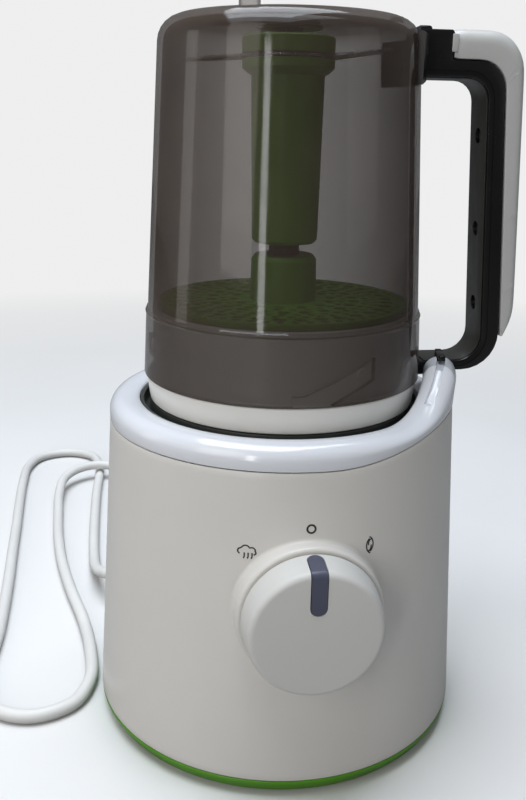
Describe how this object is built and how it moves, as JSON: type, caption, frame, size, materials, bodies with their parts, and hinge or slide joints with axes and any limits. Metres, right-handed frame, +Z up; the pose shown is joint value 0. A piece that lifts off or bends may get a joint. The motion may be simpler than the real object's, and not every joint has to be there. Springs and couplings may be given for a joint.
{
  "type": "baby food maker",
  "caption": "Counter-top steamer and blender for baby food: round base with a selector knob, smoky side-handled jug standing upside down in it, and a mains lead.",
  "frame": {"origin": "on the drive axis at table level, 1 mm under the flat pad in the middle of the base's underside", "axes": "+Z up along the drive axis of the motor and blades; -Y the front with the selector knob; +X the side that the jug's handle points to"},
  "size_m": [0.26, 0.4207, 0.3077],
  "materials": {
    "white_abs": "white casing, satin moulded plastic",
    "rim_gloss": "white shoulder ring, polished plastic",
    "green_pp": "grass green moulded plastic",
    "well_grey": "dark grey well insert, matt plastic",
    "foot_rubber": "soft dark rubber",
    "seal_rubber": "soft translucent grey rubber",
    "screw_steel": "zinc plated screws",
    "motor_steel": "pressed steel",
    "winding": "lacquered copper winding and core",
    "boiler_steel": "stainless boiler cup",
    "dark_plastic": "black moulded plastic",
    "board": "green circuit board",
    "knob_grey": "light grey knob, fine matt plastic",
    "pointer_slate": "slate blue inlay",
    "smoke": "smoky translucent jug plastic, polished",
    "handle_black": "black glossy handle frame",
    "handle_white": "light grey-white handle cover, satin",
    "lid_cream": "cream lid, matt plastic",
    "leaf_green": "leaf green strainer and hub, matt plastic",
    "blade_steel": "polished stainless blade",
    "cord_white": "white flexible mains lead, satin PVC",
    "pin_metal": "nickel plated pins"
  },
  "bodies": {
    "base": {"base_shell": "white_abs", "top_rim": "rim_gloss", "bottom_cover": "green_pp", "well_insert": "well_grey", "foot_1": "foot_rubber", "foot_2": "foot_rubber", "foot_3": "foot_rubber", "foot_4": "foot_rubber", "cover_screw_1": "screw_steel", "cover_screw_2": "screw_steel", "cover_screw_3": "screw_steel", "cover_screw_4": "screw_steel", "steam_nozzle": "dark_plastic", "shaft_seal": "seal_rubber", "boiler_cup": "boiler_steel", "heating_element": "dark_plastic", "boiler_seal": "seal_rubber", "thermal_fuse": "dark_plastic", "steam_pipe": "seal_rubber", "motor_can": "motor_steel", "motor_endplate": "motor_steel", "motor_stator": "winding", "lower_bearing": "motor_steel", "upper_bearing": "motor_steel", "rotary_switch": "dark_plastic", "circuit_board": "board", "capacitor": "dark_plastic", "strain_relief": "cord_white", "power_cord": "cord_white", "plug_body": "cord_white", "plug_pin_left": "pin_metal", "plug_pin_right": "pin_metal"},
    "selector": {"control_knob": "knob_grey", "knob_pointer": "pointer_slate", "switch_shaft": "screw_steel"},
    "motor_drive": {"motor_rotor": "motor_steel", "cooling_fan": "dark_plastic", "drive_coupling": "dark_plastic"},
    "water_cap": {"tank_cap": "white_abs", "tank_cap_seal": "seal_rubber"},
    "lid_base_seal": {"steam_seal": "seal_rubber"},
    "lid_unit": {"lid": "lid_cream", "strainer": "leaf_green", "strainer_post": "leaf_green"},
    "jug_seal": {"lid_seal": "seal_rubber"},
    "jug_unit": {"jug": "smoke", "jug_bushing": "dark_plastic", "handle_frame": "handle_black", "handle_cover": "handle_white", "handle_screw_1": "screw_steel", "handle_screw_2": "screw_steel", "handle_screw_3": "screw_steel"},
    "blade_unit": {"blade_hub": "leaf_green", "blades": "blade_steel", "blade_spindle": "dark_plastic", "drive_dog": "dark_plastic"}
  },
  "joints": [
    {"name": "knob_turn", "type": "hinge", "parent": "base", "child": "selector", "pos_m": [0, -0.09, 0.0845], "axis": [0, -1, 0], "range_deg": [-40, 40]},
    {"name": "motor_spin", "type": "hinge", "parent": "base", "child": "motor_drive", "pos_m": [0, 0, 0.08], "axis": [0, 0, 1], "continuous": true},
    {"name": "tank_cap_turn", "type": "hinge", "parent": "base", "child": "water_cap", "pos_m": [-0.0212, 0.0212, 0.134], "axis": [0, 0, 1], "range_deg": [0, 60]},
    {"name": "jar_lift", "type": "slide", "parent": "base", "child": "lid_base_seal", "axis": [0, 0, 1], "range_m": [0, 0.15]},
    {"name": "jar_turn", "type": "hinge", "parent": "lid_base_seal", "child": "lid_unit", "pos_m": [0, 0, 0.155], "axis": [0, 0, 1], "range_deg": [0, 25]},
    {"name": "jug_rise", "type": "slide", "parent": "lid_unit", "child": "jug_seal", "axis": [0, 0, 1], "range_m": [0, 0.0109]},
    {"name": "jug_unscrew", "type": "hinge", "parent": "jug_seal", "child": "jug_unit", "pos_m": [0, 0, 0.19], "axis": [0, 0, 1], "range_deg": [0, 25]},
    {"name": "blade_spin", "type": "hinge", "parent": "jug_unit", "child": "blade_unit", "pos_m": [0, 0, 0.29], "axis": [0, 0, 1], "continuous": true}
  ],
  "couplings": [
    {"joint": "jug_rise", "follows": "jug_unscrew", "m_per_rad": 0.0248}
  ]
}
